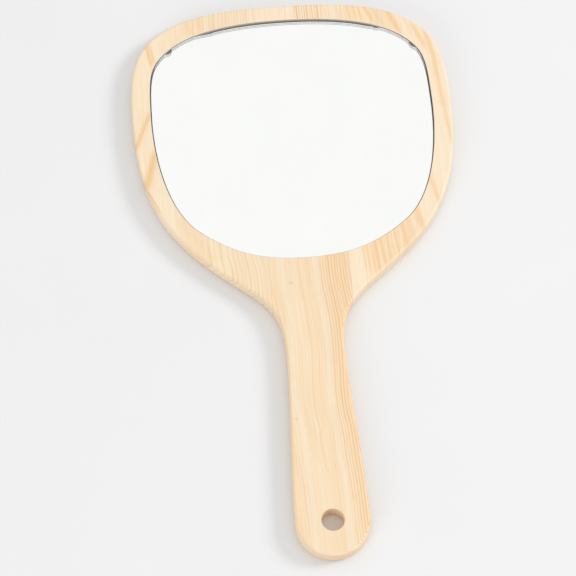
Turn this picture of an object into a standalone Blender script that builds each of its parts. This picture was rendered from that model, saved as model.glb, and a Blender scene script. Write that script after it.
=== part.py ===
"""A pine hand mirror: a paddle glued up from three staves, with a silvered glass pane in a routed recess.

The mirror lies on its back. +Y runs from the end of the handle to the head, +Z is the side with the glass,
and the origin is under the middle of the whole length. Everything is in metres.
"""

import math

import bmesh
import bpy
from mathutils import Vector

# Driving dimensions.
LENGTH = 0.300          # handle end to the top of the head
THICKNESS = 0.008       # the pine board
EDGE_ROUND = 0.0022     # rounding of the board's outer edges, front and back
HANDLE_RADIUS = 0.017   # the round end of the handle
HANG_HOLE_RADIUS = 0.0053
HOLE_Y = HANDLE_RADIUS - LENGTH / 2   # the hang hole is on the centre of the round end
LEFT_JOINT_X = -0.0185  # glue joints between the staves
RIGHT_JOINT_X = 0.0200
GAP = 0.0003            # clearance between touching pieces
RECESS_FLOOR = 0.0035   # height of the routed floor above the back face
TAPE_THICKNESS = 0.0008
FILM_THICKNESS = 0.0001
GLASS_THICKNESS = 0.0018
GLASS_CLEARANCE = 0.00075  # between the pane and the wall of its recess, all round
GLASS_DROP = 0.0005     # the pane has settled towards the handle by this much
SMOOTH_STEPS = 12       # straight pieces in each stretch of a smooth outline
MERGE = 1e-6

# Half outlines, from the handle's side of the centre line round the right to the far side. Each point is
# (x, distance above the hang hole, heading in degrees, length of the curve handle before it, and after it).
QUARTER = 4 / 3 * (math.sqrt(2) - 1)  # curve handle that makes a quarter circle of radius 1
ROUND = HANDLE_RADIUS * QUARTER
PADDLE = (
    (0.0000, -HANDLE_RADIUS, 0, 0.0000, ROUND),
    (HANDLE_RADIUS, 0.0000, 90, ROUND, 0.0260),   # widest at the round end
    (0.0138, 0.0840, 90, 0.0255, 0.0233),         # waist of the handle
    (0.0345, 0.1241, 39, 0.0178, 0.0419),         # shoulder, where the neck opens into the head
    (0.0799, 0.2247, 90, 0.0533, 0.0226),         # widest part of the head
    (0.0666, 0.2680, 139, 0.0136, 0.0190),        # upper corner
    (0.0000, LENGTH - HANDLE_RADIUS, 180, 0.0302, 0.0000),
)
RECESS = (
    (0.0000, 0.1347, 0, 0.0000, 0.0229),
    (0.0503, 0.1524, 40, 0.0182, 0.0201),         # lower corner
    (0.0705, 0.2203, 90, 0.0231, 0.0242),         # widest part
    (0.0599, 0.2595, 139, 0.0135, 0.0159),        # upper corner
    (0.0000, 0.2740, 180, 0.0269, 0.0000),
)

# Strips of double-sided foam tape: (name, centre's distance above the hang hole, length along X).
TAPES = (
    ("tape_upper", 0.2400, 0.096),
    ("tape_middle", 0.2030, 0.104),
    ("tape_lower", 0.1660, 0.080),
)
TAPE_WIDTH = 0.018
TAPE_CORNER = 0.002


def clear_scene():
    for obj in list(bpy.data.objects):
        bpy.data.objects.remove(obj, do_unlink=True)


def collection(name):
    made = bpy.data.collections.new(name)
    bpy.context.scene.collection.children.link(made)
    return made


def material(name, colour, roughness, metallic=0.0, transmission=0.0):
    made = bpy.data.materials.new(name)
    made.use_nodes = True
    shader = made.node_tree.nodes["Principled BSDF"]
    shader.inputs["Base Color"].default_value = (*colour, 1.0)
    shader.inputs["Roughness"].default_value = roughness
    shader.inputs["Metallic"].default_value = metallic
    shader.inputs["Transmission Weight"].default_value = transmission
    made.diffuse_color = (*colour, 1.0)
    return made


def smooth_half(spline_points, half):
    """Sets a closed Bezier spline's points from a half outline and its mirror image."""
    loop = [(x, y, heading, before, after) for x, y, heading, before, after in half]
    loop += [(-x, y, -heading, after, before) for x, y, heading, before, after in reversed(half[1:-1])]
    # On the centre line the curve handle before a point mirrors the one after it.
    first, last = half[0], half[-1]
    loop[0] = (*first[:3], first[4], first[4])
    loop[len(half) - 1] = (*last[:3], last[3], last[3])
    spline_points.add(len(loop) - 1)
    for point, (x, y, heading, before, after) in zip(spline_points, loop):
        along = Vector((math.cos(math.radians(heading)), math.sin(math.radians(heading)), 0))
        place = Vector((x, y, 0))
        point.handle_left_type = point.handle_right_type = "FREE"
        point.co = place
        point.handle_left = place - along * before
        point.handle_right = place + along * after


def outline_curve(name, half, inset=0.0, edge_round=0.0, thickness=THICKNESS):
    """A filled flat curve of the outline, its thickness centred on its own plane."""
    curve = bpy.data.curves.new(name, "CURVE")
    curve.dimensions = "2D"
    curve.fill_mode = "BOTH"
    curve.resolution_u = SMOOTH_STEPS
    curve.extrude = thickness / 2 - edge_round
    curve.bevel_depth = edge_round
    curve.bevel_resolution = 3
    curve.offset = -edge_round - inset
    spline = curve.splines.new("BEZIER")
    spline.use_cyclic_u = True
    smooth_half(spline.bezier_points, half)
    return bpy.data.objects.new(name, curve)


def mesh_object(flat, into, place):
    """The curve object made into a closed mesh at a place, in a collection."""
    into.objects.link(flat)
    flat.location = place
    bpy.context.view_layer.update()
    graph = bpy.context.evaluated_depsgraph_get()
    mesh = bpy.data.meshes.new_from_object(flat.evaluated_get(graph))
    welded = bmesh.new()
    welded.from_mesh(mesh)
    bmesh.ops.remove_doubles(welded, verts=welded.verts, dist=MERGE)
    bmesh.ops.recalc_face_normals(welded, faces=welded.faces)
    welded.to_mesh(mesh)
    welded.free()
    name, matrix = flat.name, flat.matrix_world.copy()
    curve = flat.data
    bpy.data.objects.remove(flat)
    bpy.data.curves.remove(curve)
    obj = bpy.data.objects.new(name, mesh)
    mesh.name = name
    obj.matrix_world = matrix
    into.objects.link(obj)
    return obj


def layer(name, half, low, high, into, place_y=HOLE_Y, inset=0.0):
    """A flat piece with this outline between two heights."""
    flat = outline_curve(name, half, inset=inset, thickness=high - low)
    return mesh_object(flat, into, (0, place_y, (low + high) / 2))


def box(name, low, high, into):
    bpy.ops.mesh.primitive_cube_add(size=1)
    obj = bpy.context.object
    obj.name = name
    size = [b - a for a, b in zip(low, high)]
    middle = [(a + b) / 2 for a, b in zip(low, high)]
    for vertex in obj.data.vertices:
        vertex.co = [m + c * s for m, c, s in zip(middle, vertex.co, size)]
    return move_to(obj, into)


def move_to(obj, into):
    for owner in list(obj.users_collection):
        owner.objects.unlink(obj)
    into.objects.link(obj)
    return obj


def as_cutter(obj):
    obj.hide_render = True
    obj.display_type = "WIRE"
    return obj


def boolean(obj, cutter, operation):
    modifier = obj.modifiers.new(cutter.name, "BOOLEAN")
    modifier.operation = operation
    modifier.object = cutter
    modifier.solver = "EXACT"


def smooth(obj, degrees=35):
    obj.data.shade_smooth()
    obj.data.set_sharp_from_angle(angle=math.radians(degrees))


def recess_cutter(into):
    """The routed recess, run on above the front face."""
    return as_cutter(layer("recess_cutter", RECESS, RECESS_FLOOR, 2 * THICKNESS, into))


def hang_hole_cutter(into):
    bpy.ops.mesh.primitive_cylinder_add(vertices=48, radius=HANG_HOLE_RADIUS, depth=THICKNESS * 2,
                                        location=(0, HOLE_Y, THICKNESS / 2))
    cutter = bpy.context.object
    cutter.name = "hang_hole_cutter"
    return as_cutter(move_to(cutter, into))


def staves(parts, cutters, pine):
    """Three boards side by side, sawn to the paddle's outline and routed after gluing up."""
    recess = recess_cutter(cutters)
    hang_hole = hang_hole_cutter(cutters)
    beyond = LENGTH
    bands = (
        ("stave_left", -beyond, LEFT_JOINT_X - GAP / 2),
        ("stave_middle", LEFT_JOINT_X + GAP / 2, RIGHT_JOINT_X - GAP / 2),
        ("stave_right", RIGHT_JOINT_X + GAP / 2, beyond),
    )
    for name, left, right in bands:
        flat = outline_curve(name, PADDLE, edge_round=EDGE_ROUND)
        stave = mesh_object(flat, parts, (0, HOLE_Y, THICKNESS / 2))
        band = box(name + "_band", (left, -beyond, -beyond), (right, beyond, beyond), cutters)
        boolean(stave, as_cutter(band), "INTERSECT")
        boolean(stave, recess, "DIFFERENCE")
        if name == "stave_middle":
            boolean(stave, hang_hole, "DIFFERENCE")
        smooth(stave)
        stave.data.materials.append(pine)


def strip_half(length, width, corner):
    """Half the outline of a strip with round corners, centred on its own middle."""
    reach = corner * QUARTER
    x, y = length / 2, width / 2
    return (
        (0, -y, 0, 0, 0),
        (x - corner, -y, 0, 0, reach),
        (x, corner - y, 90, reach, 0),
        (x, y - corner, 90, 0, reach),
        (x - corner, y, 180, reach, 0),
        (0, y, 180, 0, 0),
    )


def tape_strips(parts, foam):
    """Foam tape between the routed floor and the painted back of the mirror."""
    low = RECESS_FLOOR + GAP
    for name, distance, length in TAPES:
        half = strip_half(length, TAPE_WIDTH, TAPE_CORNER)
        tape = layer(name, half, low, low + TAPE_THICKNESS, parts, HOLE_Y + distance)
        tape.data.materials.append(foam)


def mirror_layers(parts, paint, silver, glass):
    """The pane and the two coats on its back, one above the other with a clearance between."""
    low = RECESS_FLOOR + GAP + TAPE_THICKNESS + GAP
    stack = (
        ("back_paint", FILM_THICKNESS, paint),
        ("silver_coat", FILM_THICKNESS, silver),
        ("glass_pane", GLASS_THICKNESS, glass),
    )
    for name, thickness, finish in stack:
        place = HOLE_Y - GLASS_DROP
        piece = layer(name, RECESS, low, low + thickness, parts, place, inset=GLASS_CLEARANCE)
        smooth(piece)
        piece.data.materials.append(finish)
        low += thickness + GAP


def main():
    clear_scene()
    parts = collection("hand_mirror")
    cutters = collection("hand_mirror_cutters")
    staves(parts, cutters, material("pine", (0.94, 0.78, 0.56), 0.6))
    tape_strips(parts, material("foam_tape", (0.82, 0.82, 0.80), 0.9))
    mirror_layers(
        parts,
        material("grey_back_paint", (0.25, 0.26, 0.27), 0.7),
        material("silver", (0.95, 0.95, 0.94), 0.03, metallic=1.0),
        material("clear_glass", (0.93, 0.97, 0.95), 0.02, transmission=1.0),
    )


main()
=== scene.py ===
# %% [markdown]
# # A pine hand mirror
# This lesson dresses a measured model of a salon hand mirror. The real one is a paddle glued up from three
# pine staves, sawn to a soft shield shape, rounded along its edges and routed for a silvered pane of glass.
# The measured model is loaded first and stays as it is. Each visible piece is then made at its place.

# %% Load the measured model
import math

import bmesh
import bpy
from mathutils import Matrix, Vector
from mathutils.geometry import interpolate_bezier


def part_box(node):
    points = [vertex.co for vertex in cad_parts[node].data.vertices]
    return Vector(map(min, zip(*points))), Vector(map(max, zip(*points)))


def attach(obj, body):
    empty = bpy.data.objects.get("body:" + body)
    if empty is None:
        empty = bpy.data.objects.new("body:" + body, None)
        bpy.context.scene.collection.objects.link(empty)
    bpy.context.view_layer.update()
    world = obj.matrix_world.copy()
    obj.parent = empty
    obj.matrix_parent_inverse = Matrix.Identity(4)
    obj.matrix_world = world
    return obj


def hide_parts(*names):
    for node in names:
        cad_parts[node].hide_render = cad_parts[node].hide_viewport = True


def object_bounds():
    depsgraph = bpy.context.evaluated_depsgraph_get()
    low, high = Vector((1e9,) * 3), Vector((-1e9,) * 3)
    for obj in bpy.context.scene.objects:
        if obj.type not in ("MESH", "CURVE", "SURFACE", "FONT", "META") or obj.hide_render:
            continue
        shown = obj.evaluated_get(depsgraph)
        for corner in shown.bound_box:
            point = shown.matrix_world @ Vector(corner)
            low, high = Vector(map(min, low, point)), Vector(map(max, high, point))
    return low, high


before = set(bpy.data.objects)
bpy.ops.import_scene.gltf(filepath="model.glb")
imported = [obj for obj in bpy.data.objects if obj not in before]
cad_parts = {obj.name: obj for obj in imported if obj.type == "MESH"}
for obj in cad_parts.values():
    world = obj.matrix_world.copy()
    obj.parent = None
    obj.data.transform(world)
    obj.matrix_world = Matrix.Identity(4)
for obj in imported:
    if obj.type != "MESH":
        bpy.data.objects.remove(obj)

CAD_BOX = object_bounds()
print("measured pieces:", ", ".join(sorted(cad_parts)))

# %% [markdown]
# ## The sizes that everything hangs on
# A maker reads the sizes off the workpiece instead of writing them down twice. The board's length and
# thickness are the box of the whole model, each glue joint is half way between two staves, and the pane and
# the tape strips have boxes of their own. +Y runs from the handle to the head and +Z is the glass side.

# %% Read the sizes
BOARD_LENGTH = CAD_BOX[1].y - CAD_BOX[0].y
BOARD_THICKNESS = CAD_BOX[1].z
HANDLE_RADIUS = 0.017
HOLE_Y = CAD_BOX[0].y + HANDLE_RADIUS
HOLE_RADIUS = 0.0053
PANE_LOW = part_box("glass_pane")[0][2]
PANE_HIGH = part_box("glass_pane")[1][2]


def joint_between(left, right):
    """The plane of the glue joint between two neighbouring staves."""
    return (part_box(left)[1][0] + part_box(right)[0][0]) / 2


LEFT_JOINT = joint_between("stave_left", "stave_middle")
RIGHT_JOINT = joint_between("stave_middle", "stave_right")
print(f"board {BOARD_LENGTH:.3f} m long, {BOARD_THICKNESS * 1000:.1f} mm thick")
print(f"glue joints at {LEFT_JOINT * 1000:.1f} and {RIGHT_JOINT * 1000:.1f} mm")

# %% [markdown]
# ## The two outlines
# The sawn outline and the routed recess are symmetric, so each is drawn as a half. A template maker would
# use a few French curves. Bezier points are the same thing: each one holds a place, a heading and how far
# the curve keeps that heading before and after it. Seven points are enough for the paddle, five for the
# recess.

# %% Outline points
QUARTER = 4 / 3 * (math.sqrt(2) - 1)
ROUND = HANDLE_RADIUS * QUARTER
PADDLE = (
    (0.0000, -HANDLE_RADIUS, 0, 0.0000, ROUND),
    (HANDLE_RADIUS, 0.0000, 90, ROUND, 0.0260),   # widest at the round end
    (0.0138, 0.0840, 90, 0.0255, 0.0233),         # waist of the handle
    (0.0345, 0.1241, 39, 0.0178, 0.0419),         # shoulder, where the neck opens into the head
    (0.0799, 0.2247, 90, 0.0533, 0.0226),         # widest part of the head
    (0.0666, 0.2680, 139, 0.0136, 0.0190),        # upper corner
    (0.0000, BOARD_LENGTH - HANDLE_RADIUS, 180, 0.0302, 0.0000),
)
RECESS = (
    (0.0000, 0.1347, 0, 0.0000, 0.0229),
    (0.0503, 0.1524, 40, 0.0182, 0.0201),         # lower corner
    (0.0705, 0.2203, 90, 0.0231, 0.0242),         # widest part
    (0.0599, 0.2595, 139, 0.0135, 0.0159),        # upper corner
    (0.0000, 0.2740, 180, 0.0269, 0.0000),
)
print(f"{len(PADDLE)} points draw half the paddle and {len(RECESS)} draw half the recess")

# %% Walk round an outline
OUTLINE_STEPS = 30  # straight pieces between two outline points


def heading_vector(degrees):
    return Vector((math.cos(math.radians(degrees)), math.sin(math.radians(degrees))))


def walk(half, steps, offset_y):
    """Points round a whole outline, from its half and the mirror image of it."""
    loop = [(x, y, heading, before, after) for x, y, heading, before, after in half]
    loop += [(-x, y, -heading, after, before) for x, y, heading, before, after in reversed(half[1:-1])]
    first, last = half[0], half[-1]
    loop[0] = (*first[:3], first[4], first[4])
    loop[len(half) - 1] = (*last[:3], last[3], last[3])
    points = []
    for here, there in zip(loop, loop[1:] + loop[:1]):
        start = Vector(here[:2])
        end = Vector(there[:2])
        leaving = start + heading_vector(here[2]) * here[4]
        arriving = end - heading_vector(there[2]) * there[3]
        points += interpolate_bezier(start, leaving, arriving, end, steps + 1)[:-1]
    return [point + Vector((0, offset_y)) for point in points]


paddle_outline = walk(PADDLE, OUTLINE_STEPS, HOLE_Y)
recess_outline = walk(RECESS, OUTLINE_STEPS, HOLE_Y)
print(f"paddle outline {len(paddle_outline)} points, recess outline {len(recess_outline)} points")

# %% [markdown]
# ## Rings of faces
# Every piece here is a flat shape with worked edges: rounded, eased or ground. Such a piece can be made by
# a Bevel modifier, but the width of a bevel is hard to steer where a long curve meets a big flat face.
# Here the outline is repeated as rings instead, each one stepped in or out and up, like contour lines. The
# rings make an even band of faces, and the flat faces are filled between the rings that bound them.

# %% Rings and fills


def outward(points):
    """The direction out of the outline at each of its points."""
    found = []
    for index, point in enumerate(points):
        along = points[(index + 1) % len(points)] - points[index - 1]
        found.append(Vector((along.y, -along.x)).normalized())
    return found


def rings(shell, points, profile, finish_index=0):
    """Bands of faces through each (outset, height) of the profile. Returns the edges of both end rings."""
    normals = outward(points)
    made = []
    for outset, height in profile:
        places = [(*(point + normal * outset), height) for point, normal in zip(points, normals)]
        made.append([shell.verts.new(place) for place in places])
    for lower, upper in zip(made, made[1:]):
        for k in range(len(points)):
            n = (k + 1) % len(points)
            face = shell.faces.new((lower[k], lower[n], upper[n], upper[k]))
            face.material_index = finish_index
    return [ring_edges(shell, made[0]), ring_edges(shell, made[-1])]


def ring_edges(shell, ring):
    return [shell.edges.get((a, b)) for a, b in zip(ring, ring[1:] + ring[:1])]


def fill(shell, ring, *holes, finish_index=0):
    """A flat face bounded by one ring of edges, with the other rings as holes in it."""
    if not holes:
        made = bmesh.ops.contextual_create(shell, geom=ring)["faces"]
    else:
        edges = [edge for bound in (ring, *holes) for edge in bound]
        made = bmesh.ops.triangle_fill(shell, edges=edges, use_beauty=True)["geom"]
    for face in made:
        if isinstance(face, bmesh.types.BMFace):
            face.material_index = finish_index


def quarter_round(radius, steps):
    """(step sideways, step up) pairs along a quarter circle, from upright to level."""
    angles = [math.pi / 2 * k / steps for k in range(steps + 1)]
    return [(radius * (1 - math.cos(angle)), radius * math.sin(angle)) for angle in angles]


print("a quarter round in two steps:", [(round(side, 2), round(up, 2)) for side, up in quarter_round(1.0, 2)])

# %% [markdown]
# ## From faces to a placed piece
# A turned or routed edge looks smooth, but where it meets a flat face the line stays crisp. Shading
# everything smooth would smear the flats, so edges above an angle are marked sharp, and normals are
# weighted towards the big faces. Then each piece is tied to the measured node that it stands for.

# %% Finish a mesh
SHARP_DEGREES = 40


def finish_mesh(name, shell):
    """Turns the shell into an object with level flats and smooth rounds, and says what it holds."""
    bmesh.ops.recalc_face_normals(shell, faces=shell.faces)
    open_edges = sum(not edge.is_manifold for edge in shell.edges)
    mesh = bpy.data.meshes.new(name)
    shell.to_mesh(mesh)
    shell.free()
    mesh.shade_smooth()
    mesh.set_sharp_from_angle(angle=math.radians(SHARP_DEGREES))
    piece = bpy.data.objects.new(name, mesh)
    bpy.context.scene.collection.objects.link(piece)
    weighted = piece.modifiers.new("level flats", "WEIGHTED_NORMAL")
    weighted.keep_sharp = True
    print(f"{name}: {len(mesh.polygons)} faces, {open_edges} open edges")
    return piece


def place_piece(piece, node, slot, *finishes):
    """The piece stands for its measured node, rides on the mirror and takes its finishes."""
    for finish in finishes:
        piece.data.materials.append(finish)
    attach(piece, "root")
    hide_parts(node)
    print(piece.name, "stands for", node, "in", " and ".join(finish.name for finish in finishes))
    return piece


print(f"edges sharper than {SHARP_DEGREES} degrees stay crisp")

# %% [markdown]
# ## The board
# On the bench the three staves are glued first, then the blank is sawn, rounded over with a router,
# drilled for its hanging hole and routed for the glass. The back edge is rounded by 2 mm, the front edge
# by little more than 1 mm, and the rims of the recess and of the hole are just eased with sandpaper. The
# board is built whole in the same order, so that every worked edge runs across the glue joints without a
# step. Faces inside the recess are marked for a second finish, because routed wood looks different from
# sanded wood.

# %% The whole board
BACK_ROUND = 0.0022
FRONT_ROUND = 0.0013
RIM_EASE = 0.00015
RECESS_FLOOR = 0.0035
EDGE_STEPS = 8
RIM_STEPS = 4
HOLE_STEPS = 96
ROUTED = 1  # which of a stave's finishes the routed faces take


def rounded_profile():
    """The board's edge, from the back face up to the front face."""
    back = [(-side, BACK_ROUND - up) for side, up in quarter_round(BACK_ROUND, EDGE_STEPS)]
    shoulder = BOARD_THICKNESS - FRONT_ROUND
    front = [(-side, shoulder + up) for side, up in quarter_round(FRONT_ROUND, EDGE_STEPS)]
    return back[::-1] + front


def eased_rim():
    """The upper end of a routed or drilled wall, opening out to the front face."""
    arc = quarter_round(RIM_EASE, RIM_STEPS)
    return [(side, BOARD_THICKNESS - RIM_EASE + up) for side, up in arc]


def hole_profile():
    top = eased_rim()
    return [(side, BOARD_THICKNESS - height) for side, height in reversed(top)] + top


def whole_board():
    shell = bmesh.new()
    turns = [heading_vector(360 * k / HOLE_STEPS) for k in range(HOLE_STEPS)]
    circle = [Vector((0, HOLE_Y)) + turn * HOLE_RADIUS for turn in turns]
    back, front = rings(shell, paddle_outline, rounded_profile())
    floor, recess_rim = rings(shell, recess_outline, [(0, RECESS_FLOOR)] + eased_rim(), ROUTED)
    hole_back, hole_front = rings(shell, circle, hole_profile())
    fill(shell, back, hole_back)
    fill(shell, front, recess_rim, hole_front)
    fill(shell, floor, finish_index=ROUTED)
    return shell


board = whole_board()
print(f"board: {len(board.faces)} faces, {sum(not edge.is_manifold for edge in board.edges)} open edges")

# %% [markdown]
# ## The staves
# The board is three boards, so it is cut back into them along the glue joints. A Boolean could do it, but a
# bisect cuts exactly on a plane and keeps the faces on either side as they are. Each cut face is closed.

# %% Cut the board into its staves
ON_THE_PLANE = 1e-7  # points nearer to the cut than this count as lying on it


def stave(name, low_x, high_x):
    """The part of the board between two planes across X."""
    part = board.copy()
    for plane_x, facing in ((low_x, -1), (high_x, 1)):
        if plane_x is None:
            continue
        everything = part.verts[:] + part.edges[:] + part.faces[:]
        bmesh.ops.bisect_plane(part, geom=everything, dist=ON_THE_PLANE, plane_co=(plane_x, 0, 0),
                               plane_no=(facing, 0, 0), clear_outer=True)
        cut = [edge for edge in part.edges if edge.is_boundary]
        bmesh.ops.holes_fill(part, edges=cut, sides=0)
    return finish_mesh(name, part)


left_stave = stave("pine_stave_left", None, LEFT_JOINT)
middle_stave = stave("pine_stave_middle", LEFT_JOINT, RIGHT_JOINT)
right_stave = stave("pine_stave_right", RIGHT_JOINT, None)

# %% [markdown]
# ## Building finishes from nodes
# A finish here is a tree of nodes. Writing each node out in full hides the idea, so three small helpers make
# a node, feed its sockets and do arithmetic. A colour is given as a paint chart gives it, from 0 to 255.

# %% Node helpers


def tint(red, green, blue):
    """A colour from a chart, as the linear light that Blender works in."""
    parts = [value / 255 for value in (red, green, blue)]
    linear = [p / 12.92 if p <= 0.04045 else ((p + 0.055) / 1.055) ** 2.4 for p in parts]
    return (*linear, 1.0)


def feed(tree, socket, value):
    if isinstance(value, bpy.types.NodeSocket):
        tree.links.new(value, socket)
    else:
        socket.default_value = value


def node(tree, kind, feeds=None, **settings):
    made = tree.nodes.new("ShaderNode" + kind)
    for key, value in settings.items():
        setattr(made, key, value)
    for socket, value in (feeds or {}).items():
        feed(tree, made.inputs[socket], value)
    return made


def maths(tree, operation, *values, clamp=False):
    made = node(tree, "Math", operation=operation, use_clamp=clamp)
    for socket, value in zip(made.inputs, values):
        feed(tree, socket, value)
    return made.outputs[0]


def new_finish(name):
    """An empty material: returns it, its tree and its shader."""
    material = bpy.data.materials.new(name)
    material.use_nodes = True
    return material, material.node_tree, material.node_tree.nodes["Principled BSDF"]


print("middle grey of a paint chart, in linear light:", round(tint(128, 128, 128)[0], 3))

# %% [markdown]
# ## Curves, noise and mixing
# Wood changes slowly from place to place, and a maker would sketch that change as a curve on paper. A
# Float Curve node holds such a sketch. Noise that is stretched along the plank gives everything else its
# fibres, and a mix lays one tone over another. Each of the three is wrapped in a helper that takes real
# lengths.

# %% Curves, noise and mixing


def drawn_curve(tree, value, places):
    """A smooth curve through (place, height) pairs, read at value."""
    low, high = places[0][0], places[-1][0]
    heights = [height for _, height in places]
    bottom = min(heights)
    rise = (max(heights) - bottom) or 1.0
    share = maths(tree, "DIVIDE", maths(tree, "SUBTRACT", value, low), high - low, clamp=True)
    made = node(tree, "FloatCurve", {"Value": share})
    points = made.mapping.curves[0].points
    for _ in range(len(places) - 2):
        points.new(0.5, 0.5)
    for point, (place, height) in zip(points, places):
        point.location = ((place - low) / (high - low), (height - bottom) / rise)
        point.handle_type = "AUTO_CLAMPED"
    made.mapping.update()
    return maths(tree, "MULTIPLY_ADD", made.outputs[0], rise, bottom)


def stretched_noise(tree, across, along, up, sizes, detail=2.0, seed=0.0):
    """Noise whose lumps have this size in each direction, from 0 to 1."""
    parts = [maths(tree, "DIVIDE", value, size) for value, size in zip((across, along, up), sizes)]
    vector = node(tree, "CombineXYZ", {"X": parts[0], "Y": parts[1], "Z": maths(tree, "ADD", parts[2], seed)})
    noise = node(tree, "TexNoise", {"Vector": vector.outputs[0], "Scale": 1.0, "Detail": detail})
    return noise.outputs["Fac"]


def blend_colour(tree, share, colour, other, how="MIX"):
    made = node(tree, "Mix", data_type="RGBA", blend_type=how)
    feed(tree, made.inputs[0], share)
    feed(tree, made.inputs[6], colour)
    feed(tree, made.inputs[7], other)
    return made.outputs[2]


def swing(tree, value, width):
    """Turns noise from 0 to 1 into a shift of up to half the width to either side."""
    return maths(tree, "MULTIPLY_ADD", value, width, -width / 2)


def colour_ramp(tree, value, stops):
    """A ramp of (place, colour) stops, read at value."""
    low, high = stops[0][0], stops[-1][0]
    share = maths(tree, "DIVIDE", maths(tree, "SUBTRACT", value, low), high - low, clamp=True)
    ramp = node(tree, "ValToRGB", {"Fac": share})
    elements = ramp.color_ramp.elements
    for _ in range(len(stops) - 2):
        elements.new(0.5)
    for element, (place, colour) in zip(elements, stops):
        element.position = (place - low) / (high - low)
        element.color = colour
    return ramp.outputs["Color"]


# %% Colour, roughness and relief


def dress(tree, shader, value, dark, light, smooth, rough):
    """Colour and roughness follow the value: dark and smooth where it is 0, light and rough where it is 1."""
    feed(tree, shader.inputs["Base Color"], blend_colour(tree, value, dark, light))
    feed(tree, shader.inputs["Roughness"], maths(tree, "MULTIPLY_ADD", value, rough - smooth, smooth))


def relief(tree, shader, height, strength, depth):
    """Bumps that are about depth metres deep where the height goes from 0 to 1."""
    bump = node(tree, "Bump", {"Height": height, "Strength": strength, "Distance": depth})
    feed(tree, shader.inputs["Normal"], bump.outputs[0])


# %% [markdown]
# ## Pine
# Pine is pale early wood with thin darker lines of late wood, one for each year. Because the rings are
# sheets that run through the plank, they show as lines on the face, on the rounded edge and on the end
# grain. A flat picture of wood would break at every edge, so the rings are worked out at each point of the
# solid. `u` is the distance across the rings in millimetres, after the drift of the grain is taken off. A
# plank is then described as a sawyer would see it: how the grain drifts, how the ring spacing and strength
# change from one side to the other, what tone each zone has, and where single bold bands cut across its
# face.

# %% Tones of pine
PALE = tint(235, 216, 186)
CREAM = tint(237, 218, 189)
BUTTER = tint(237, 217, 182)
STRAW = tint(236, 213, 180)
AMBER = tint(236, 210, 174)
HONEY = tint(236, 206, 167)
WASHED = tint(238, 220, 193)
END_GRAIN_AND_PAINTED_LIGHT = tint(242, 218, 195)
GREYISH = tint(220, 192, 152)
LATE = tint(224, 184, 138)
BOLD = tint(231, 190, 138)
BOW = tint(218, 168, 130)
KNOT = tint(178, 128, 100)
GLUE = tint(180, 136, 94)
print("pale pine, in linear light:", [round(part, 2) for part in PALE[:3]])

# %% [markdown]
# ## The three planks
# All lengths are in millimetres: across from the middle of the board, and along from the hang hole. A band
# is (across, along) at both of its ends, then half its width and its strength. A glow is written like a
# band, but it is wide, soft and yellow, where resin has warmed the wood. A washed zone is paler than the
# rest, and a knot is its place and radius. `lean` says how far the rings move sideways for each millimetre
# of depth.

# %% Left plank


def describe(name, plank):
    print(f"{name}: {len(plank['bands'])} bands, {len(plank['glows'])} glows, {len(plank['knots'])} knots")


LEFT_PLANK = {
    "drift": ((-17, 1.5), (125, 0), (150, -2), (300, -2)),
    "tones": ((-92, BUTTER), (-62, CREAM), (-54, STRAW), (-45, STRAW), (-41, BUTTER), (-30, STRAW),
              (0, STRAW)),
    "late": GREYISH,
    "spacing": ((-92, 4.0), (-50, 3.4), (-42, 3.0), (-34, 2.4), (-29, 1.8), (-24, 1.5), (0, 1.3)),
    "strength": ((-92, 0), (-52, 0), (-46, 0.35), (-41, 0.6), (-18, 0.6), (0, 0.5)),
    "clearness": ((-17, 1), (140, 1), (160, 0.6), (250, 0.6), (270, 1.1), (290, 1.1)),
    "bands": (
        ((-68.9, 265), (-67.0, 251), 1.0, 0.9), ((-67.0, 263), (-65.4, 252), 0.8, 0.6),
        ((-68.6, 223), (-76.8, 202), 1.3, 0.75), ((-67.6, 199), (-72.8, 179), 1.9, 0.9),
        ((-41.2, 279), (-40.6, 270), 0.9, 0.5), ((-72.0, 177), (-66.6, 165), 0.4, 0.9),
    ),
    "glows": (
        ((-69.2, 268), (-65.4, 250), 2.6, 0.6), ((-68.6, 224), (-76.8, 201), 2.6, 0.5),
        ((-66.8, 202), (-72.6, 177), 3.4, 0.7), ((-55.5, 160), (-44.8, 136), 4.6, 0.7),
        ((-48.5, 280), (-47.2, 268), 2.4, 0.8), ((-41.2, 280), (-40.6, 268), 2.2, 0.5),
    ),
    "washed": (),
    "knots": (),
    "lean": 0.5,
}
describe("left plank", LEFT_PLANK)

# %% Middle plank
MIDDLE_PLANK = {
    "drift": ((-17, 0.5), (15, 0), (30, -1), (45, -1.7), (60, -2.7), (75, -2.2), (90, -1.7), (110, -2.6),
              (133, -4), (283, -4)),
    "tones": ((-24, STRAW), (-16, AMBER), (-11, STRAW), (-9.2, PALE), (-7.9, PALE), (-7, STRAW), (-1, STRAW),
              (3, AMBER), (6.2, STRAW), (6.9, PALE), (7.8, PALE), (9, STRAW), (12, AMBER), (15, HONEY),
              (20, HONEY), (23, AMBER), (28, CREAM)),
    "late": LATE,
    "spacing": ((-24, 1.6), (8, 1.5), (10, 1.35), (28, 1.3)),
    "strength": ((-24, 0.24), (-11, 0.22), (-9, 0.06), (-6.5, 0.16), (5.5, 0.18), (7.5, 0.15), (9.5, 0.6),
                 (12, 0.95), (28, 0.85)),
    "clearness": ((-17, 0.8), (25, 1), (140, 1), (250, 1.1), (270, 1.5), (290, 1.5)),
    "bands": (
        ((-0.3, 137), (-0.3, 22), 0.5, 0.42), ((-5.6, 120), (-5.4, 10), 0.4, 0.12),
        ((3.4, 135), (3.6, 5), 0.4, 0.12),
    ),
    "glows": (((-15, 64), (-15, -17), 4.5, 0.35), ((-13.5, 122), (-12.5, 98), 2.5, 0.5)),
    "washed": (((5, 290), (5, 269), 34, 0.9),),
    "knots": ((-8.8, 121.3, 1.0), (-12.3, 50.5, 0.8)),
    "lean": -2.5,
}
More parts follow.
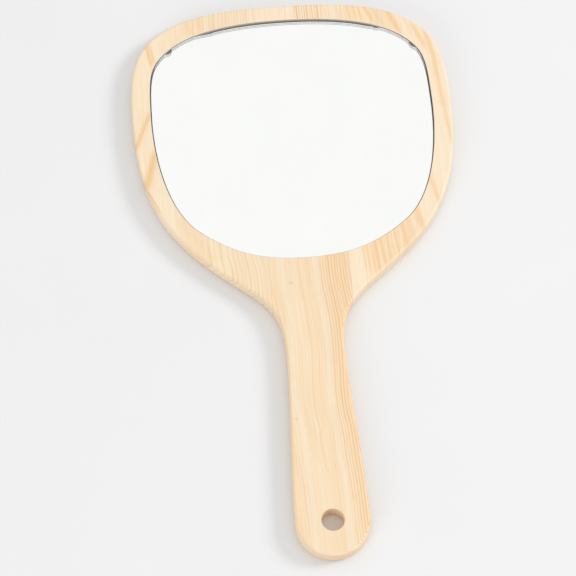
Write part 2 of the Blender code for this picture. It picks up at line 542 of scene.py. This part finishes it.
describe("middle plank", MIDDLE_PLANK)

# %% Right plank
RIGHT_PLANK = {
    "drift": ((-17, 0), (300, 0.01)),
    "tones": ((18, CREAM), (26, CREAM), (30, STRAW), (52, STRAW), (58, CREAM), (92, CREAM)),
    "late": LATE,
    "spacing": ((18, 1.6), (30, 2.4), (50, 2.8), (60, 5), (92, 5)),
    "strength": ((18, 0.15), (27, 0.15), (30, 0.3), (50, 0.3), (56, 0.12), (92, 0.10)),
    "clearness": ((-17, 1), (150, 1), (170, 0.6), (250, 0.6), (268, 1), (290, 1)),
    "bands": (
        # The lower rim.
        ((27.2, 142), (27.9, 126), 0.6, 0.6), ((28.9, 142), (29.6, 126), 0.6, 0.75),
        ((31.1, 143), (32.0, 125), 0.6, 0.65), ((33.1, 145), (34.4, 125), 0.9, 1.0),
        ((35.9, 145), (38.0, 127), 0.9, 0.85), ((39.3, 147), (40.8, 130), 0.7, 0.65),
        ((41.3, 147), (42.6, 132), 0.5, 0.4), ((43.2, 149), (44.9, 132), 0.7, 0.8),
        ((47.4, 152), (49.2, 136), 1.5, 0.6), ((50.5, 154), (52.8, 142), 1.6, 0.4),
        ((54.9, 160), (58.2, 145), 1.8, 0.55), ((63.4, 180), (67.5, 160), 1.4, 0.5),
        # The upper rim.
        ((20.9, 283), (21.2, 272), 0.45, 0.5), ((22.3, 283), (22.6, 272), 0.4, 0.45),
        ((23.7, 283), (24.0, 272), 0.4, 0.45), ((33.2, 283), (34.2, 272), 0.6, 0.6),
        ((35.9, 283), (37.4, 272), 0.6, 0.6), ((37.8, 283), (40.3, 271), 0.7, 0.7),
        ((40.6, 282), (45.8, 270), 1.0, 0.75), ((45.5, 279), (50.5, 267), 1.2, 0.35),
        ((53.2, 277), (58.8, 262), 1.6, 0.75), ((61.0, 272), (65.0, 259), 0.7, 0.3),
        ((65.2, 267), (70.4, 252), 1.4, 0.65),
        # The side.
        ((71.2, 263), (74.4, 245), 1.4, 0.65), ((73.9, 249), (76.2, 214), 1.3, 0.55),
        ((75.9, 218), (77.4, 193), 1.1, 0.5),
    ),
    "glows": (
        ((27.8, 143), (29.2, 125), 2.4, 0.25), ((33.4, 145), (35.4, 125), 3.4, 0.3),
        ((37.0, 146), (39.0, 127), 3.0, 0.2), ((47.6, 154), (51.0, 136), 4.2, 0.3),
        ((54.9, 161), (58.2, 144), 3.0, 0.45), ((63.4, 182), (67.5, 158), 2.6, 0.3),
        ((35.5, 283), (38.5, 271), 3.6, 0.3), ((42.0, 282), (49.0, 268), 3.6, 0.25),
        ((53.2, 279), (58.8, 260), 3.2, 0.6), ((66.0, 268), (71.0, 250), 3.0, 0.4),
        ((72.0, 262), (75.5, 215), 2.6, 0.35),
    ),
    "washed": (((20, 290), (20, 269), 9, 0.6),),
    "knots": (),
    "lean": 0.6,
}
describe("right plank", RIGHT_PLANK)

# %% [markdown]
# ## Counting the rings
# A plank is described by how far apart its rings are, but a pattern needs a number that grows by one for
# each ring. Adding up the spacing from the left edge gives that number, as counting rings with a finger
# would.

# %% How the rings are counted


def ring_numbers(spacing):
    """(place, ring number) pairs from (place, ring spacing) pairs."""
    number = 0.0
    pairs = [(spacing[0][0], number)]
    for (place, gap), (next_place, next_gap) in zip(spacing, spacing[1:]):
        number += (next_place - place) * 2 / (gap + next_gap)
        pairs.append((next_place, number))
    return pairs


print("rings across the middle plank:", round(ring_numbers(MIDDLE_PLANK["spacing"])[-1][1]))

# %% [markdown]
# ## Measuring across and along the grain
# Every layer of the finish needs the same four distances, so they are made once: `across` and `along` as
# on the plank, `up` from the back face, and `u` across the rings. A slow waver keeps the rings from
# looking ruled.

# %% Directions in the plank
MM_PER_M = 1000.0
FRONT = BOARD_THICKNESS * MM_PER_M
WAVER = 0.9


def plank_directions(tree, plank, seed):
    """(across, along, up, u) in millimetres."""
    place = node(tree, "TexCoord").outputs["Object"]
    moved = node(tree, "VectorMath", {0: place, 1: (0, -HOLE_Y, 0)}, operation="ADD").outputs[0]
    millimetres = node(tree, "VectorMath", {0: moved, "Scale": MM_PER_M}, operation="SCALE").outputs[0]
    across, along, up = node(tree, "SeparateXYZ", {0: millimetres}).outputs
    drift = drawn_curve(tree, along, plank["drift"])
    waver = stretched_noise(tree, across, along, up, sizes=(14, 24, 25), detail=1.0, seed=seed)
    waver = swing(tree, waver, WAVER)
    lean = maths(tree, "MULTIPLY", maths(tree, "SUBTRACT", up, FRONT), plank["lean"])
    shift = maths(tree, "ADD", maths(tree, "ADD", waver, lean), drift)
    return across, along, up, maths(tree, "SUBTRACT", across, shift)


print(f"the front face is {FRONT:.1f} mm above the back face")

# %% [markdown]
# ## Year rings and bold bands
# In each year the wood darkens slowly towards late summer and then stops short, so one ring is a slow rise
# and a sharp fall, never a plain stripe. Where the saw met a ring at a low angle it shows as a bold band.
# A curve can't draw those, because they cross the grain, so each is a soft line between two points.

# %% Year rings
RING_WANDER = 1.6
LATE_WOOD = ((0, 0), (0.45, 0.12), (0.72, 0.6), (0.86, 1.0), (0.96, 0.25), (1, 0))


def year_rings(tree, plank, u, along, up, fading, seed):
    """Late wood that darkens slowly across each ring and ends sharply."""
    number = drawn_curve(tree, u, ring_numbers(plank["spacing"]))
    uneven = stretched_noise(tree, u, along, up, sizes=(2.0, 300, 300), detail=2.0, seed=seed + 3)
    year = maths(tree, "FRACT", maths(tree, "MULTIPLY_ADD", uneven, RING_WANDER, number))
    late = drawn_curve(tree, year, LATE_WOOD)
    strength = drawn_curve(tree, u, plank["strength"])
    clearness = drawn_curve(tree, along, plank["clearness"])
    strength = maths(tree, "MULTIPLY", strength, clearness)
    return maths(tree, "MULTIPLY", late, maths(tree, "MULTIPLY", strength, fading), clamp=True)


print("late wood is darkest at", max(LATE_WOOD, key=lambda place: place[1])[0], "of each year")

# %% Bold bands
BAND_FADE = 2.5
BAND_REACH = 1.4
BAND_CORE = 0.1


def smooth_step(tree, value, start, end):
    """0 up to start and 1 from end, with a soft rise between. It falls when start is the larger."""
    made = node(tree, "MapRange", {"Value": value, "From Min": start, "From Max": end},
                interpolation_type="SMOOTHSTEP")
    return made.outputs[0]


def bold_bands(tree, bands, u, along):
    """The strongest band at each point."""
    strongest = 0.0
    for (upper_x, upper_y), (lower_x, lower_y), half_width, strength in bands:
        slope = (upper_x - lower_x) / (upper_y - lower_y)
        middle = maths(tree, "MULTIPLY_ADD", along, slope, lower_x - slope * lower_y)
        away = maths(tree, "ABSOLUTE", maths(tree, "SUBTRACT", u, middle))
        share = smooth_step(tree, away, half_width * BAND_REACH, half_width * BAND_CORE)
        above_low_end = smooth_step(tree, along, lower_y - BAND_FADE, lower_y + BAND_FADE)
        below_high_end = smooth_step(tree, along, upper_y + BAND_FADE, upper_y - BAND_FADE)
        share = maths(tree, "MULTIPLY", share, above_low_end)
        share = maths(tree, "MULTIPLY", share, below_high_end)
        strongest = maths(tree, "MAXIMUM", strongest, maths(tree, "MULTIPLY", share, strength))
    return strongest


# %% [markdown]
# ## Knots, glue lines and end grain
# A pin knot is where a twig once started, and is no more than a small dark oval. A glue joint shows only
# as a hair line. At the two ends of the board the saw went across the fibres, and the rings show there as
# wide bows around the heart of the tree. The direction that a face looks in tells where those ends are.
# The end faces are also painted paler than the face of the board: partly the end grain's own tone, partly
# painted light for light falling on the end of the handle.

# %% Knots and glue lines
KNOT_FLATTENING = 1.3
GLUE_SPREAD = ((0, 0.45), (0.08, 0.30), (0.22, 0.0))


def with_knot(tree, colour, across, along, knot_x, knot_y, radius):
    """A pin knot: a small dark oval with a soft rim."""
    side = maths(tree, "SUBTRACT", across, knot_x)
    ahead = maths(tree, "MULTIPLY", maths(tree, "SUBTRACT", along, knot_y), KNOT_FLATTENING)
    away = maths(tree, "SQRT", maths(tree, "ADD", maths(tree, "MULTIPLY", side, side),
                                     maths(tree, "MULTIPLY", ahead, ahead)))
    share = drawn_curve(tree, away, ((0, 0.3), (radius * 0.5, 0.18), (radius * 1.6, 0.0)))
    return blend_colour(tree, share, colour, KNOT)


def with_glue_line(tree, colour, across, fibre, joint):
    """A hair line of hardened glue where two staves meet."""
    away = maths(tree, "ABSOLUTE", maths(tree, "SUBTRACT", across, joint))
    share = drawn_curve(tree, away, GLUE_SPREAD)
    share = maths(tree, "MULTIPLY", share, fibre)
    return blend_colour(tree, share, colour, GLUE)


# %% End grain
BOW_CENTRE = (-3.0, -38.0)
BOW_SPACING = 1.5
BOW_PROFILE = ((0, 0.1), (0.4, 0), (0.8, 0.9), (0.9, 1.0), (1, 0.1))
END_TONE_SHARE = 0.6


def with_end_grain(tree, colour, across, up):
    """Bows of late wood where the plank is cut across its fibres, around a heart far below the board."""
    normal = node(tree, "SeparateXYZ", {0: node(tree, "NewGeometry").outputs["Normal"]}).outputs
    facing = maths(tree, "ABSOLUTE", normal[1])
    side = maths(tree, "SUBTRACT", across, BOW_CENTRE[0])
    height = maths(tree, "SUBTRACT", up, BOW_CENTRE[1])
    radius = maths(tree, "SQRT", maths(tree, "ADD", maths(tree, "MULTIPLY", side, side),
                                       maths(tree, "MULTIPLY", height, height)))
    year = maths(tree, "FRACT", maths(tree, "DIVIDE", radius, BOW_SPACING))
    late = drawn_curve(tree, year, BOW_PROFILE)
    cut_across = smooth_step(tree, facing, start=0.78, end=0.96)
    # End faces turn paler: partly the end grain's own tone, partly painted light for light falling on the
    # handle's end.
    colour = blend_colour(tree, maths(tree, "MULTIPLY", cut_across, END_TONE_SHARE), colour, END_GRAIN_AND_PAINTED_LIGHT)
    return blend_colour(tree, maths(tree, "MULTIPLY", late, cut_across), colour, BOW)


print(f"the bows in the end grain are {BOW_SPACING} mm apart")

# %% [markdown]
# ## Fibres
# Between the rings, wood is never one flat tone. Fibres a hair wide and long give it tooth, broader
# streaks follow the grain, and slow clouds shift the tone of a whole zone. Each layer multiplies the
# colour by a warm grey: what takes away a little red takes away more green and most blue, as thicker wood
# does.

# %% Layers of fibre
RED_LOSS = 0.6
BLUE_LOSS = 1.7


def with_layer(tree, colour, value, amount):
    """Darkens and warms the colour where value is low, around a middle of 0.5."""
    grey = maths(tree, "MULTIPLY_ADD", value, amount, 1 - amount / 2)
    warm = node(tree, "CombineColor", {0: maths(tree, "POWER", grey, RED_LOSS), 1: grey,
                                       2: maths(tree, "POWER", grey, BLUE_LOSS)}).outputs[0]
    return blend_colour(tree, 1.0, colour, warm, "MULTIPLY")


# %% [markdown]
# ## The pine finish
# All the layers come together here, from the widest to the finest: the tone of each zone, the glows, the
# rings, the bold bands, then fibres, streaks and clouds, and last the knots, the glue lines and the end
# grain. The bands and the glows belong to the front, so they fade out towards the back face. Late wood is
# harder, so it takes a little more shine and stands a hair prouder under sandpaper than early wood.

# %% The pine finish
FADING_LOW = 0.2
FADING_RISE = 1.6
BROKEN_LOW = -0.2
BROKEN_RISE = 2.4
RAGGEDNESS = 1.2
FIBRE_AMOUNT = 0.14
STREAK_AMOUNT = 0.26
CLOUD_AMOUNT = 0.08
LACQUER_ROUGHNESS = 0.50
LATE_SHINE = -0.10
FIBRE_ROUGHNESS = 0.12


def pine(name, plank, joints, seed):
    """A solid pine finish for one stave, from the description of its plank."""
    material, tree, shader = new_finish(name)
    across, along, up, u = plank_directions(tree, plank, seed)
    fading = stretched_noise(tree, u, along, up, sizes=(1.6, 60, 40), detail=2.0, seed=seed + 5)
    fading = maths(tree, "MULTIPLY_ADD", fading, FADING_RISE, FADING_LOW)
    late = year_rings(tree, plank, u, along, up, fading, seed)
    ragged = stretched_noise(tree, u, along, up, sizes=(0.7, 10, 3), detail=2.0, seed=seed + 13)
    ragged_u = maths(tree, "ADD", u, swing(tree, ragged, RAGGEDNESS))
    fibre = stretched_noise(tree, u, along, up, sizes=(0.25, 7, 0.4), detail=2.0, seed=seed + 7)
    streak = stretched_noise(tree, u, along, up, sizes=(0.55, 30, 2.5), detail=3.0, seed=seed + 9)
    cloud = stretched_noise(tree, u, along, up, sizes=(5, 36, 12), detail=1.0, seed=seed + 11)
    near_front = smooth_step(tree, up, start=0.0, end=4.5)
    broken = maths(tree, "MULTIPLY_ADD", streak, BROKEN_RISE, BROKEN_LOW)
    bold = maths(tree, "MULTIPLY", bold_bands(tree, plank["bands"], ragged_u, along), broken, clamp=True)
    bold = maths(tree, "MULTIPLY", bold, near_front)
    glow = maths(tree, "MULTIPLY", bold_bands(tree, plank["glows"], ragged_u, along), near_front)
    washed = bold_bands(tree, plank["washed"], ragged_u, along)

    colour = colour_ramp(tree, ragged_u, plank["tones"])
    colour = blend_colour(tree, glow, colour, HONEY)
    colour = blend_colour(tree, washed, colour, WASHED)
    colour = blend_colour(tree, late, colour, plank["late"])
    colour = blend_colour(tree, bold, colour, BOLD)
    for value, amount in ((fibre, FIBRE_AMOUNT), (streak, STREAK_AMOUNT), (cloud, CLOUD_AMOUNT)):
        colour = with_layer(tree, colour, value, amount)
    for knot_x, knot_y, radius in plank["knots"]:
        colour = with_knot(tree, colour, across, along, knot_x, knot_y, radius)
    for joint in joints:
        colour = with_glue_line(tree, colour, across, fibre, joint * MM_PER_M)
    feed(tree, shader.inputs["Base Color"], with_end_grain(tree, colour, across, up))

    rough = maths(tree, "MULTIPLY_ADD", late, LATE_SHINE, LACQUER_ROUGHNESS)
    feed(tree, shader.inputs["Roughness"], maths(tree, "MULTIPLY_ADD", fibre, FIBRE_ROUGHNESS, rough))
    height = maths(tree, "MULTIPLY_ADD", late, 0.6, maths(tree, "MULTIPLY", fibre, 0.7))
    relief(tree, shader, height, strength=0.6, depth=0.00004)
    return material


# %% [markdown]
# ## Routed wood
# The floor and the wall of the recess are straight from the router and were never sanded, so they are matt,
# with lifted fibres. Their tone is paler and greyer than the sanded pine: partly the raw wood's own tone,
# partly painted light for the shaded wall of the narrow gap round the pane. One finish is enough for all
# three staves here.

# %% The routed finish


def routed_pine_with_painted_light():
    material, tree, shader = new_finish("pine_routed_with_painted_light")
    _, along, up, u = plank_directions(tree, MIDDLE_PLANK, 71.0)
    fibre = stretched_noise(tree, u, along, up, sizes=(0.4, 6, 0.5), detail=3.0, seed=73.0)
    # Paler and greyer than the sanded pine: partly the raw wood's own tone, partly painted light for the
    # shaded gap wall.
    dress(tree, shader, fibre, dark=tint(222, 204, 186), light=tint(244, 230, 214), smooth=0.8, rough=0.9)
    relief(tree, shader, fibre, strength=0.8, depth=0.00008)
    return material


# %% Put the pine on the staves
routed = routed_pine_with_painted_light()
left_pine = pine("pine_left", LEFT_PLANK, joints=(LEFT_JOINT,), seed=2.0)
middle_pine = pine("pine_middle", MIDDLE_PLANK, joints=(LEFT_JOINT, RIGHT_JOINT), seed=31.0)
right_pine = pine("pine_right", RIGHT_PLANK, joints=(RIGHT_JOINT,), seed=57.0)
place_piece(left_stave, "stave_left", "pine_left", left_pine, routed)
place_piece(middle_stave, "stave_middle", "pine_middle", middle_pine, routed)
place_piece(right_stave, "stave_right", "pine_right", right_pine, routed)

# %% [markdown]
# ## The pane
# The pane is float glass, 1.8 mm thick, with a ground edge. A single bright plane would reflect just as
# well, but the real pane shows a thin dark line along its edge, the shade down in the gap between pane and
# wall, and that line tells how it was cut. Here it is cut short along the top, so that the gap opens there,
# and its edge has four small chips. A pane is built as a solid from one outline, and the silver and the
# paint below it take the same outline. Dark paint up the pane's edge is painted shade for that gap.

# %% How far the pane stands in from the wall
PANE_STEPS = 100
PANE_DROP = 0.00025
SIDE_GAP = 0.00042
TOP_EDGE = HOLE_Y + 0.245
# (across, gap) along the upper edge, in metres.
TOP_GAPS = ((-0.0705, SIDE_GAP), (-0.062, 0.0002), (-0.046, 0.0001), (-0.040, 0.0011), (0.043, 0.0011),
            (0.050, 0.0001), (0.062, 0.0002), (0.0705, SIDE_GAP))
# (across, along, half width, depth) of each chip.
CHIPS = ((-0.0599, 0.2592, 0.0024, 0.0011), (0.0643, 0.2543, 0.0026, 0.0009),
         (-0.0383, 0.2710, 0.0014, 0.0005), (0.0470, 0.2668, 0.0016, 0.0006))


def gap_at(point):
    """The gap between the pane and the wall of its recess at a point of the recess outline."""
    gap = SIDE_GAP
    if point.y > TOP_EDGE:
        for (near, near_gap), (far, far_gap) in zip(TOP_GAPS, TOP_GAPS[1:]):
            if near <= point.x <= far:
                gap = near_gap + (far_gap - near_gap) * (point.x - near) / (far - near)
    for chip_x, chip_y, half_width, depth in CHIPS:
        away = (point - Vector((chip_x, HOLE_Y + chip_y))).length / half_width
        gap += depth * max(0.0, 1 - away ** 2)
    return gap


def pane_edge():
    """The outline of the pane, with its lower edge resting nearer to the wall than its sides."""
    wall = walk(RECESS, PANE_STEPS, HOLE_Y)
    drop = Vector((0, -PANE_DROP))
    return [point - normal * gap_at(point) + drop for point, normal in zip(wall, outward(wall))]


pane_outline = pane_edge()
top_gap = gap_at(recess_outline[len(recess_outline) // 2])
print(f"the gap is {top_gap * 1000:.2f} mm along the top and {SIDE_GAP * 1000:.2f} mm at the sides")

# %% [markdown]
# ## Layers from one outline
# The sharp corners of cut glass are taken off with a stone, which leaves a tiny sloping face called an
# arris. The silver lies on the back of the glass, and the dark paint that protects it runs up the edge to
# just below the front arris, like a shallow tray. That lip of dark paint is painted shade, for the shade
# down in the narrow gap between the pane and the wall. A hair of air is left between the layers, because
# two faces in one place would flicker.

# %% Shape of the pane
ARRIS = 0.0001
HAIR = 0.00002
PAINTED_SHADE_LIP = 0.00003
GROUND = 1  # which of the pane's finishes its edge takes


def solid_layer(name, points, profile, edge_finish=0):
    """A closed flat piece: rings through the profile, with both ends filled."""
    shell = bmesh.new()
    low, high = rings(shell, points, profile, edge_finish)
    fill(shell, low)
    fill(shell, high)
    return finish_mesh(name, shell)


edge = -PAINTED_SHADE_LIP - HAIR
pane = solid_layer("glass_pane_ground", pane_outline, [
    (edge - ARRIS, PANE_LOW),
    (edge, PANE_LOW + ARRIS),
    (edge, PANE_HIGH - ARRIS),
    (edge - ARRIS, PANE_HIGH),
], edge_finish=GROUND)

# %% Silver and back paint
FILM = 0.0001
silver_high = PANE_LOW - HAIR
silver = solid_layer("silver_film", pane_outline, [
    (edge - ARRIS, silver_high - FILM),
    (edge - ARRIS, silver_high),
])
paint_high = silver_high - FILM - HAIR
# The lip of dark paint up the pane's edge is painted shade for the narrow gap round the pane.
shade_lip_high = PANE_HIGH - 2 * ARRIS
paint = solid_layer("back_paint_and_shade_lip", pane_outline, [
    (edge + HAIR + PAINTED_SHADE_LIP, paint_high - FILM),
    (edge + HAIR + PAINTED_SHADE_LIP, shade_lip_high),
    (edge + HAIR, shade_lip_high),
    (edge + HAIR, paint_high),
])

# %% [markdown]
# ## Finishes of the pane
# The bright picture in a mirror comes from the silver, seen through clear glass, so the glass is nearly
# perfect and only carries a trace of old smears. The ground edge was touched by the silver too, and
# scatters what it reflects. The back paint has the fine dimples of a sprayed coat. Each finish is one
# noise at its own scale.

# %% Glass
CLEAR_GLASS_IOR = 1.52


def speckle(tree, per_metre, detail):
    """Noise over the whole piece, from 0 to 1, with about this many lumps in a metre."""
    place = node(tree, "TexCoord").outputs["Object"]
    return node(tree, "TexNoise", {"Vector": place, "Scale": per_metre, "Detail": detail}).outputs["Fac"]


def glass():
    material, tree, shader = new_finish("float_glass")
    shader.inputs["Transmission Weight"].default_value = 1.0
    shader.inputs["IOR"].default_value = CLEAR_GLASS_IOR
    smear = speckle(tree, per_metre=60.0, detail=3.0)
    heavy_smear = maths(tree, "POWER", smear, 4.0)
    clear = blend_colour(tree, smear, tint(253, 255, 254), tint(255, 255, 255))
    feed(tree, shader.inputs["Base Color"], clear)
    feed(tree, shader.inputs["Roughness"], maths(tree, "MULTIPLY", heavy_smear, 0.01))
    return material


# %% The ground edge of the glass


def ground_edge():
    """Wheel-ground glass that the silver ran over: bright from inside, but not a clear mirror."""
    material, tree, shader = new_finish("silvered_edge")
    shader.inputs["Metallic"].default_value = 1.0
    frost = speckle(tree, per_metre=1500.0, detail=3.0)
    dress(tree, shader, frost, dark=tint(248, 249, 248), light=tint(254, 255, 254), smooth=0.08, rough=0.16)
    relief(tree, shader, frost, strength=0.1, depth=0.00001)
    return material


# %% Silver and back paint finishes


def silvering():
    material, tree, shader = new_finish("silver_film")
    shader.inputs["Metallic"].default_value = 1.0
    bloom = speckle(tree, per_metre=35.0, detail=2.0)
    dress(tree, shader, bloom, dark=tint(251, 250, 249), light=tint(253, 252, 251), smooth=0.0, rough=0.004)
    return material


def back_paint():
    material, tree, shader = new_finish("back_paint")
    orange_peel = speckle(tree, per_metre=900.0, detail=3.0)
    # Dark grey back paint. On the lip up the pane's edge the same grey is painted shade for the gap.
    dress(tree, shader, orange_peel, dark=tint(62, 57, 53), light=tint(84, 78, 73), smooth=0.5, rough=0.7)
    relief(tree, shader, orange_peel, strength=0.4, depth=0.00003)
    return material


place_piece(pane, "glass_pane", "glass", glass(), ground_edge())
place_piece(silver, "silver_coat", "silver", silvering())
place_piece(paint, "back_paint", "back_paint", back_paint())

# %% [markdown]
# ## Foam tape
# Three strips of double-sided foam tape hold the pane to the routed floor. They can't be seen from outside,
# but they come apart on the bench like everything else, so they are real strips with round corners. Foam
# bulges at half its height when it is pressed, so the top and bottom of each strip stand in a little.

# %% Outline of a tape strip
TAPE_CORNER = 0.002
CORNER_STEPS = 8


def strip_outline(low, high):
    """A rectangle between two corners of a box, with its own corners rounded."""
    points = []
    for corner_x, corner_y, start in ((high[0], low[1], -90), (high[0], high[1], 0), (low[0], high[1], 90),
                                      (low[0], low[1], 180)):
        middle = Vector((corner_x - math.copysign(TAPE_CORNER, corner_x - (low[0] + high[0]) / 2),
                         corner_y - math.copysign(TAPE_CORNER, corner_y - (low[1] + high[1]) / 2)))
        for k in range(CORNER_STEPS + 1):
            points.append(middle + heading_vector(start + 90 * k / CORNER_STEPS) * TAPE_CORNER)
    return points


# %% Tape strips
BULGE = 0.0002


def foam():
    material, tree, shader = new_finish("foam_tape")
    place = node(tree, "TexCoord").outputs["Object"]
    cells_per_metre = 2500.0
    cells = node(tree, "TexVoronoi", {"Vector": place, "Scale": cells_per_metre}).outputs["Distance"]
    dress(tree, shader, cells, dark=tint(236, 236, 232), light=tint(205, 205, 200), smooth=0.85, rough=0.95)
    relief(tree, shader, cells, strength=0.5, depth=0.0001)
    return material


foam_finish = foam()
tape_low = RECESS_FLOOR + HAIR
tape_high = paint_high - FILM - HAIR
third = (tape_high - tape_low) / 3
for where in ("upper", "middle", "lower"):
    low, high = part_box("tape_" + where)
    strip = solid_layer("foam_tape_" + where, strip_outline(low, high), [
        (-BULGE, tape_low),
        (0, tape_low + third),
        (0, tape_high - third),
        (-BULGE, tape_high),
    ])
    place_piece(strip, "tape_" + where, "foam_tape", foam_finish)

# %% [markdown]
# ## Floor and light
# The mirror lies on a plain pale floor under a soft white sky, as under a light tent. A tent alone leaves no
# shadow, so one soft lamp to the right gives the shadow along the left edges. Those edges would then turn
# grey, so a weak and larger lamp low on the left fills them in.

# %% Floor
FLOOR_HALF = 6.0


def floor_finish():
    material, tree, shader = new_finish("pale_floor")
    mottle = speckle(tree, per_metre=14.0, detail=4.0)
    pale = blend_colour(tree, mottle, tint(226, 226, 227), tint(230, 230, 230))
    feed(tree, shader.inputs["Base Color"], pale)
    shader.inputs["Roughness"].default_value = 0.9
    shader.inputs["Specular IOR Level"].default_value = 0.1
    return material


bpy.ops.mesh.primitive_plane_add(size=2 * FLOOR_HALF)
floor = bpy.context.object
floor.name = "floor"
floor.location.z = CAD_BOX[0].z - HAIR
floor.data.materials.append(floor_finish())
print(f"the floor is {2 * FLOOR_HALF:.0f} m wide")

# %% Sky
# (sine of the height above the horizon, light) from the horizon to overhead.
SKY = ((0.0, (0.75, 0.75, 0.76, 1)), (0.5, (0.66, 0.66, 0.67, 1)), (0.8, (1, 1, 1, 1)), (1.0, (1, 1, 1, 1)))


def sky():
    """White overhead and a little darker towards the horizon, so that a low view shows in the glass."""
    world = bpy.data.worlds.new("light_tent")
    world.use_nodes = True
    tree = world.node_tree
    direction = node(tree, "TexCoord").outputs["Generated"]
    upward = node(tree, "SeparateXYZ", {0: direction}).outputs[2]
    feed(tree, tree.nodes["Background"].inputs["Color"], colour_ramp(tree, upward, SKY))
    tree.nodes["Background"].inputs["Strength"].default_value = 1.0
    bpy.context.scene.world = world


sky()
print("the tent is up")

# %% Lamps


def soft_lamp(name, place, size, watts):
    """A round lamp that points at the middle of the mirror."""
    lamp = bpy.data.lights.new(name, "AREA")
    lamp.shape = "DISK"
    lamp.size = size
    lamp.energy = watts
    made = bpy.data.objects.new(name, lamp)
    made.location = place
    made.rotation_euler = (-Vector(place)).to_track_quat("-Z", "Y").to_euler()
    bpy.context.scene.collection.objects.link(made)
    print(f"{name}: {watts} W, {made.location.length:.2f} m away")


soft_lamp("key_lamp", place=(2.0, 0.3, 1.36), size=0.8, watts=22.5)
soft_lamp("fill_lamp", place=(-1.3, -1.7, 0.8), size=1.2, watts=12)
bpy.context.scene.view_settings.view_transform = "Standard"

# %% [markdown]
# ## Camera
# The mirror is seen from above its handle, tipped back by about 28 degrees and turned a little, through a
# long lens, so that its sides hardly taper. The camera is placed by what it looks at, how far off it stands
# and three turns, which is easier to adjust than a raw position.

# %% Camera
LENS = 125
AIM = Vector((-0.0104, -0.0143, BOARD_THICKNESS))
DISTANCE = 0.95108
TIP_BACK = math.radians(27.89)
SWING = math.radians(-3.06)
ROLL = math.radians(-5.37)
turn = Matrix.Rotation(SWING, 4, "Y") @ Matrix.Rotation(TIP_BACK, 4, "X") @ Matrix.Rotation(ROLL, 4, "Z")
forward = turn @ Vector((0, 0, -1))
camera = bpy.data.objects.new("camera", bpy.data.cameras.new("camera"))
camera.data.lens = LENS
camera.matrix_world = Matrix.Translation(AIM - forward * DISTANCE) @ turn
bpy.context.scene.collection.objects.link(camera)
bpy.context.scene.camera = camera
print(f"the camera stands {DISTANCE:.2f} m off and looks along {[round(part, 3) for part in forward]}")
